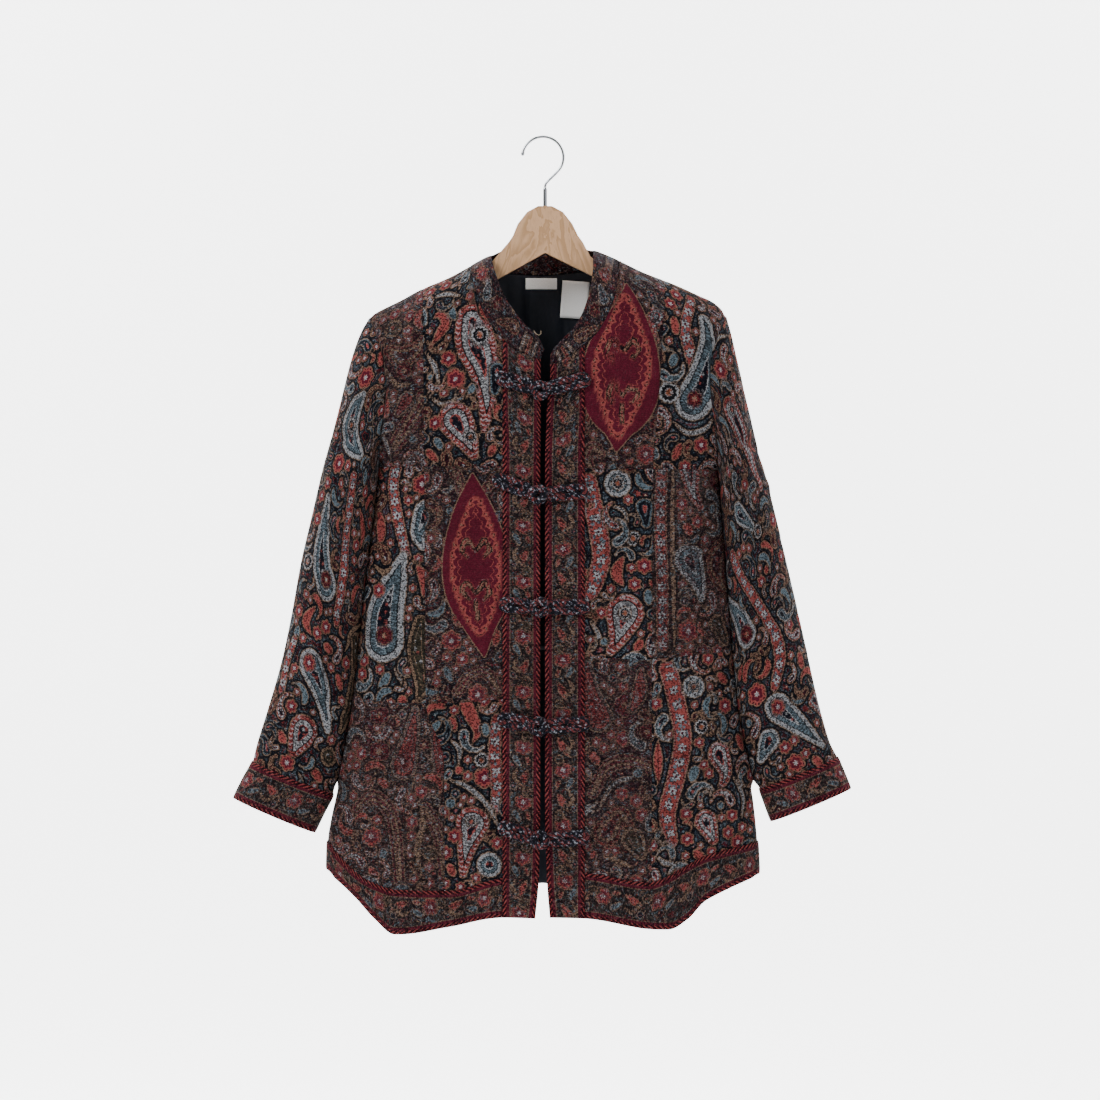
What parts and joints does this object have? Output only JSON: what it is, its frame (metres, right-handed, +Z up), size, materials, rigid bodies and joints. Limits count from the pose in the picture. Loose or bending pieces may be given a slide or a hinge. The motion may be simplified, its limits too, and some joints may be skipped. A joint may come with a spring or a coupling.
{
  "type": "mandarin collar jacket on a hanger",
  "caption": "Patchwork paisley tapestry jacket with a stand collar, frog fastenings and a curved banded hem, hanging from a wooden hanger.",
  "frame": {"origin": "inside top of the hanger hook's bend, where a rail or pin carries it", "axes": "+Z up, -Y out of the jacket's front, +X towards the wearer's left"},
  "size_m": [0.7241, 0.1382, 0.9296],
  "materials": {
    "navy_paisley": "raised woven tapestry, matt",
    "sleeve_paisley": "raised woven tapestry, matt",
    "burgundy_medallion": "raised woven tapestry, matt",
    "burgundy_mottle": "raised woven tapestry, matt",
    "olive_arches": "raised woven tapestry, matt",
    "border_band": "woven border, matt",
    "frog_cloth": "cloth cord, matt",
    "lining_satin": "satin",
    "label_white": "woven tape, matt",
    "beech_wood": "satin lacquer",
    "chrome_wire": "polished"
  },
  "bodies": {
    "root": {"front_right_upper_inner": "navy_paisley", "front_right_middle_inner": "burgundy_medallion", "front_right_lower_inner": "navy_paisley", "front_right_upper_outer": "burgundy_mottle", "front_right_middle_outer": "navy_paisley", "front_right_lower_outer": "olive_arches", "placket_right": "border_band", "hem_band_front_right": "border_band", "cuff_band_right": "border_band", "sleeve_right": "sleeve_paisley", "front_left_upper_inner": "burgundy_medallion", "front_left_middle_inner": "navy_paisley", "front_left_lower_inner": "burgundy_mottle", "front_left_upper_outer": "navy_paisley", "front_left_middle_outer": "olive_arches", "front_left_lower_outer": "navy_paisley", "placket_left": "border_band", "hem_band_front_left": "border_band", "cuff_band_left": "border_band", "sleeve_left": "sleeve_paisley", "hem_band_back": "border_band", "back": "navy_paisley", "collar": "burgundy_mottle", "frog_knot_1": "frog_cloth", "frog_cord_right_1": "frog_cloth", "frog_cord_left_1": "frog_cloth", "frog_knot_2": "frog_cloth", "frog_cord_right_2": "frog_cloth", "frog_cord_left_2": "frog_cloth", "frog_knot_3": "frog_cloth", "frog_cord_right_3": "frog_cloth", "frog_cord_left_3": "frog_cloth", "frog_knot_4": "frog_cloth", "frog_cord_right_4": "frog_cloth", "frog_cord_left_4": "frog_cloth", "frog_knot_5": "frog_cloth", "frog_cord_right_5": "frog_cloth", "frog_cord_left_5": "frog_cloth", "lining_back": "lining_satin", "label_main": "label_white", "label_care": "label_white", "hanger_board": "beech_wood", "hanger_hook": "chrome_wire", "hanger_ferrule": "chrome_wire"}
  },
  "joints": []
}
